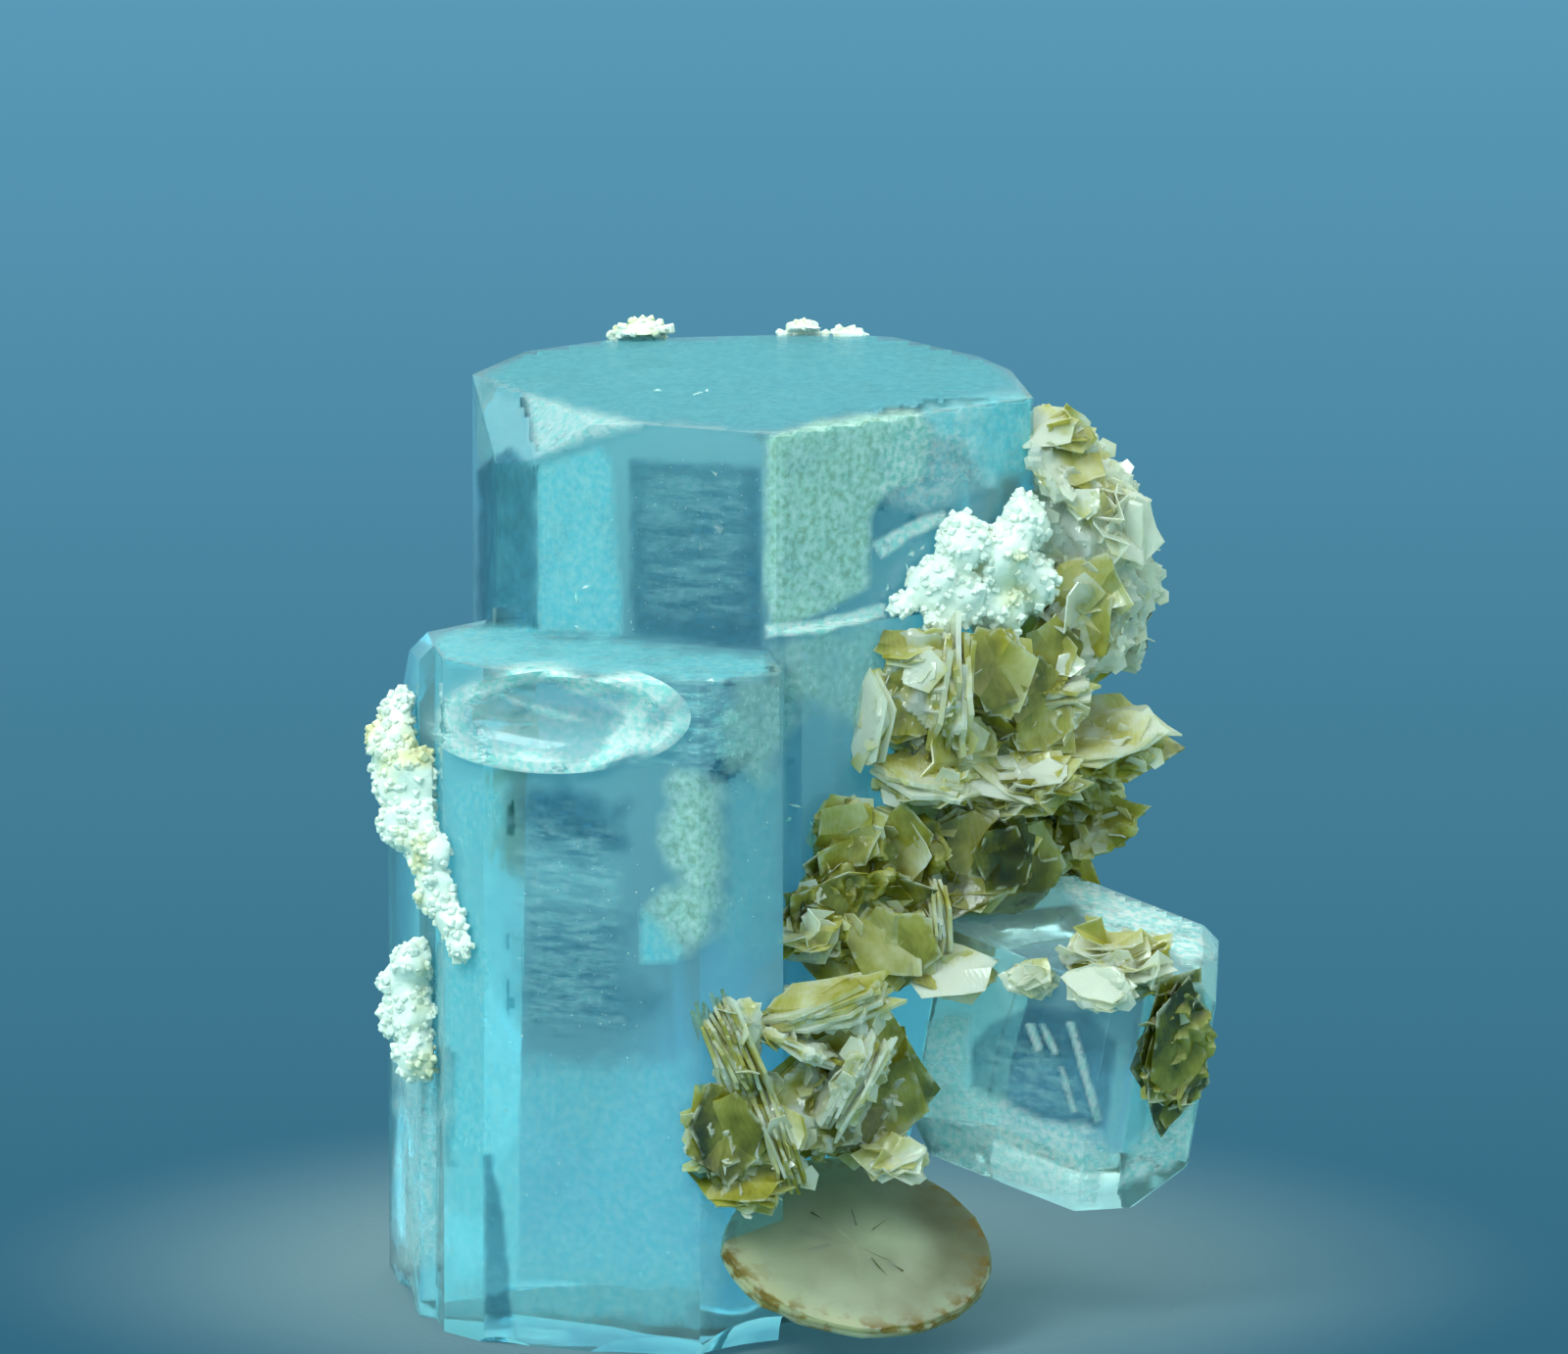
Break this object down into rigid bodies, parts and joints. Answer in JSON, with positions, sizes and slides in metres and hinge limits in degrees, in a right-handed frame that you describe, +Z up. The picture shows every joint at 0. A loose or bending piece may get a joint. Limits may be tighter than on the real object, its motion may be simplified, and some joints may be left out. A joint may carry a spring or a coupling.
{
  "type": "aquamarine crystal specimen",
  "caption": "Thumbnail mineral specimen: parallel blue-green beryl prisms with flat tops, a small leaning prism, olive mica books and white albite crusts.",
  "frame": {"origin": "on the long axis of the tall prism, in the flat broken foot that the specimen stands on", "axes": "+Z up along the prisms, -Y the front that the picture shows, +X to the right in it"},
  "size_m": [0.0173, 0.0166, 0.0188],
  "materials": {
    "aquamarine": "clear blue-green beryl with milky veils and glossy growth faces",
    "aquamarine_clear": "nearly colourless clear beryl, glossy",
    "albite": "granular, sugary white",
    "muscovite": "pearly, translucent olive and gold leaves with silvery edges",
    "muscovite_stained": "pearly, translucent grey-brown plate with a tan rim"
  },
  "bodies": {
    "root": {"crystal_pair": "aquamarine", "side_crystal": "aquamarine_clear", "albite_strip": "albite", "albite_knot": "albite", "albite_patch": "albite", "albite_back_left": "albite", "albite_back_right": "albite", "mica_crest": "muscovite", "mica_sheaf": "muscovite", "mica_shelf": "muscovite", "mica_fold": "muscovite", "mica_rosette": "muscovite", "mica_disc": "muscovite_stained", "mica_cap": "muscovite", "mica_flank": "muscovite"}
  },
  "joints": []
}
